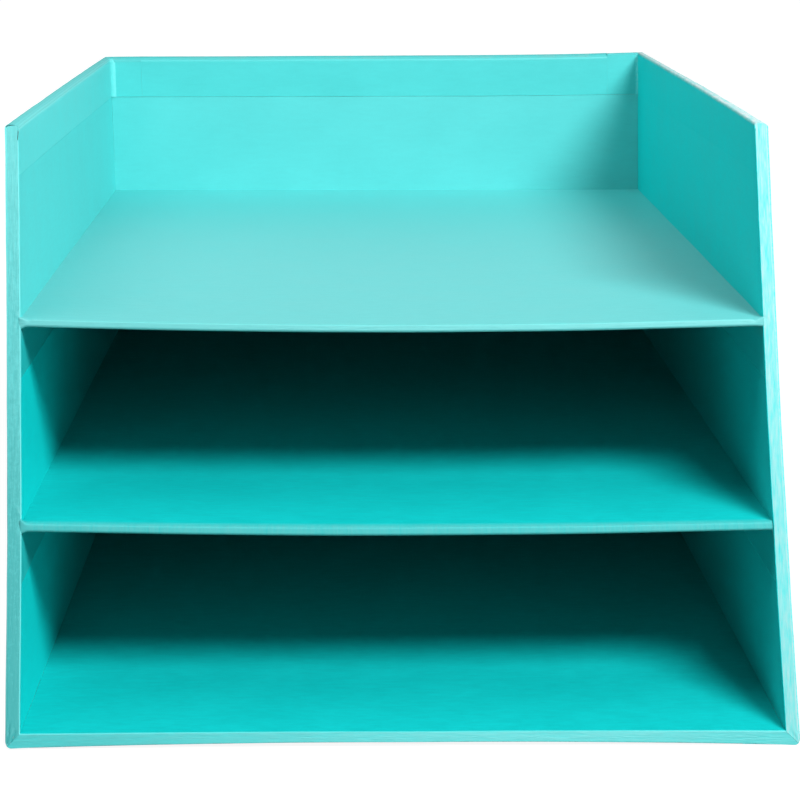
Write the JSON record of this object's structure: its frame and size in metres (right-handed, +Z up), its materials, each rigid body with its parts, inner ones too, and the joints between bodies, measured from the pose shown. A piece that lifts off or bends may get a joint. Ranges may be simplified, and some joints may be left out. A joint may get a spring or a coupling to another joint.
{
  "type": "letter tray",
  "caption": "Desk letter tray of paper-covered board: upright sides with fronts that lean back, a back, a base and fixed shelves, open at the front, for sheets of office paper.",
  "frame": {"origin": "middle of the footprint, on the underside", "axes": "+X to the right as seen from the open front, +Y to the back, +Z up"},
  "size_m": [0.245, 0.345, 0.188],
  "materials": {
    "greyboard": "raw solid board",
    "cover_paper": "matt turquoise covering paper with a fine fibre",
    "lining_paper": "matt turquoise lining paper with a fine fibre"
  },
  "bodies": {
    "root": {"base_board": "greyboard", "left_side_board": "greyboard", "right_side_board": "greyboard", "back_board": "greyboard", "lower_shelf_board": "greyboard", "upper_shelf_board": "greyboard", "left_side_cover": "cover_paper", "right_side_cover": "cover_paper", "back_cover": "cover_paper", "base_cover": "cover_paper", "lower_shelf_cover": "cover_paper", "upper_shelf_cover": "cover_paper", "floor_lining": "lining_paper", "left_lining_bottom": "lining_paper", "left_lining_middle": "lining_paper", "left_lining_top": "lining_paper", "right_lining_bottom": "lining_paper", "right_lining_middle": "lining_paper", "right_lining_top": "lining_paper", "back_lining_bottom": "lining_paper", "back_lining_middle": "lining_paper", "back_lining_top": "lining_paper"}
  },
  "joints": []
}
